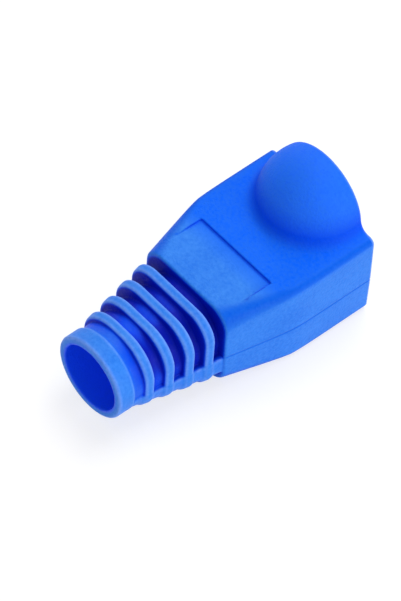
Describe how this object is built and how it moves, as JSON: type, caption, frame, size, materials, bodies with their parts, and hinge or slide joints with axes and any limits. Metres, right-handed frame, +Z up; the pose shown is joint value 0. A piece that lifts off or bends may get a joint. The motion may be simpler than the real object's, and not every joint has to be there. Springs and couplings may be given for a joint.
{
  "type": "rj45 strain relief boot",
  "caption": "Soft moulded sleeve that slides over the back of a modular plug, with a hollow dome over the latch and a ribbed, tapering neck that bends with the cable.",
  "frame": {"origin": "under the middle of the boot, on the flat surface that it lies on", "axes": "+Y along the cable's axis from the cable end to the plug mouth, +X across the boot, +Z up from the flat bottom to the side with the latch dome"},
  "size_m": [0.014, 0.027, 0.0151],
  "materials": {
    "boot_pvc": "satin moulded flexible PVC, azure blue"
  },
  "bodies": {
    "root": {"strain_relief_boot": "boot_pvc"}
  },
  "joints": []
}
